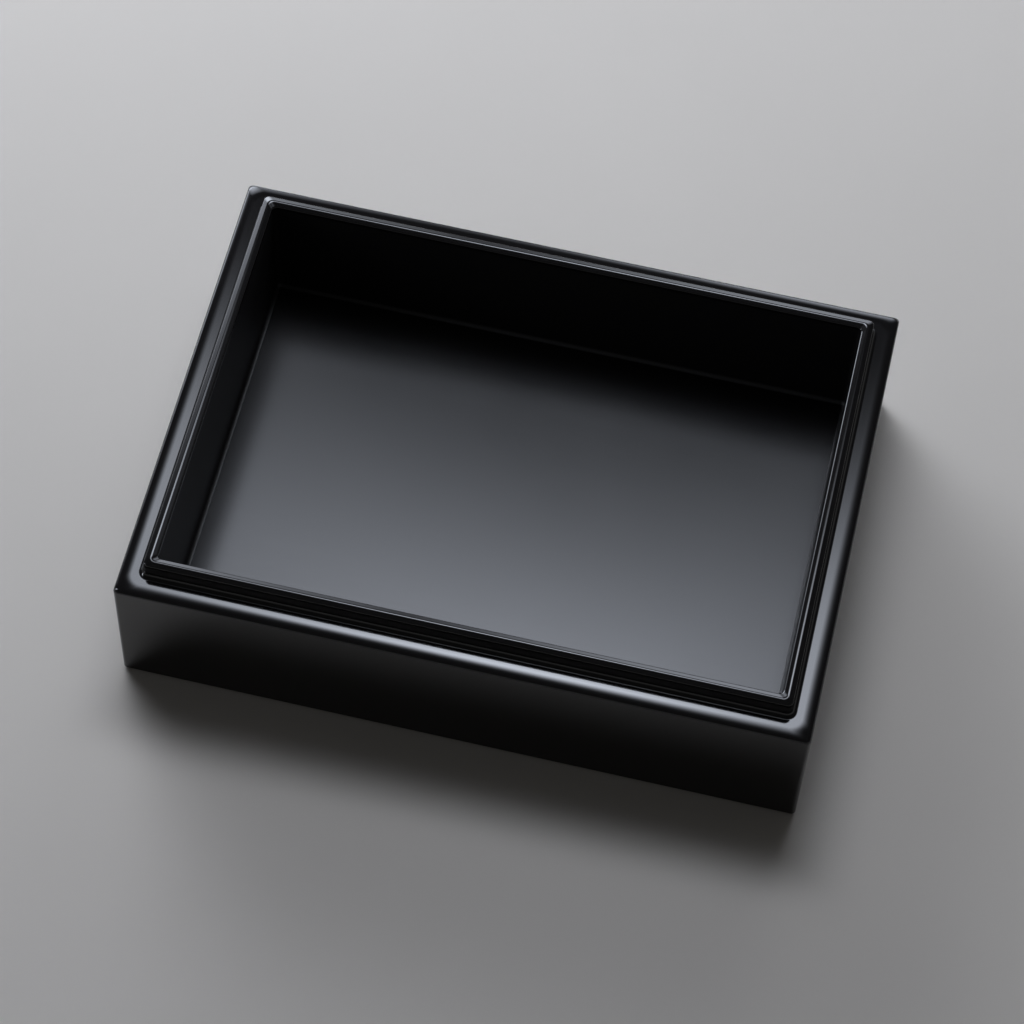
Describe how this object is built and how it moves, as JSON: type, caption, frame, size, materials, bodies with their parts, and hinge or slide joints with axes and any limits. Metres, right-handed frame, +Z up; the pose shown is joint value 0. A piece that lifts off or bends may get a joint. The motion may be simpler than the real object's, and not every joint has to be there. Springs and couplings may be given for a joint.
{
  "type": "lacquered box body",
  "caption": "Low rectangular open box in black gloss lacquer, with a shoulder and a raised inner lip all round for a lid.",
  "frame": {"origin": "middle of the rest plane, under the centre of the box", "axes": "+X along the length, +Y towards the back in the picture, +Z up"},
  "size_m": [0.24, 0.175, 0.062],
  "materials": {
    "wall_lacquer": "black gloss lacquer",
    "lining_lacquer": "black gloss lacquer",
    "floor_lacquer": "black satin lacquer",
    "bare_wood": "planed, unfinished"
  },
  "bodies": {
    "root": {"wall_front": "wall_lacquer", "wall_right": "wall_lacquer", "wall_back": "wall_lacquer", "wall_left": "wall_lacquer", "lining_front": "lining_lacquer", "lining_right": "lining_lacquer", "lining_back": "lining_lacquer", "lining_left": "lining_lacquer", "floor_board": "floor_lacquer", "corner_key_front_left": "bare_wood", "corner_key_front_right": "bare_wood", "corner_key_back_right": "bare_wood", "corner_key_back_left": "bare_wood"}
  },
  "joints": []
}
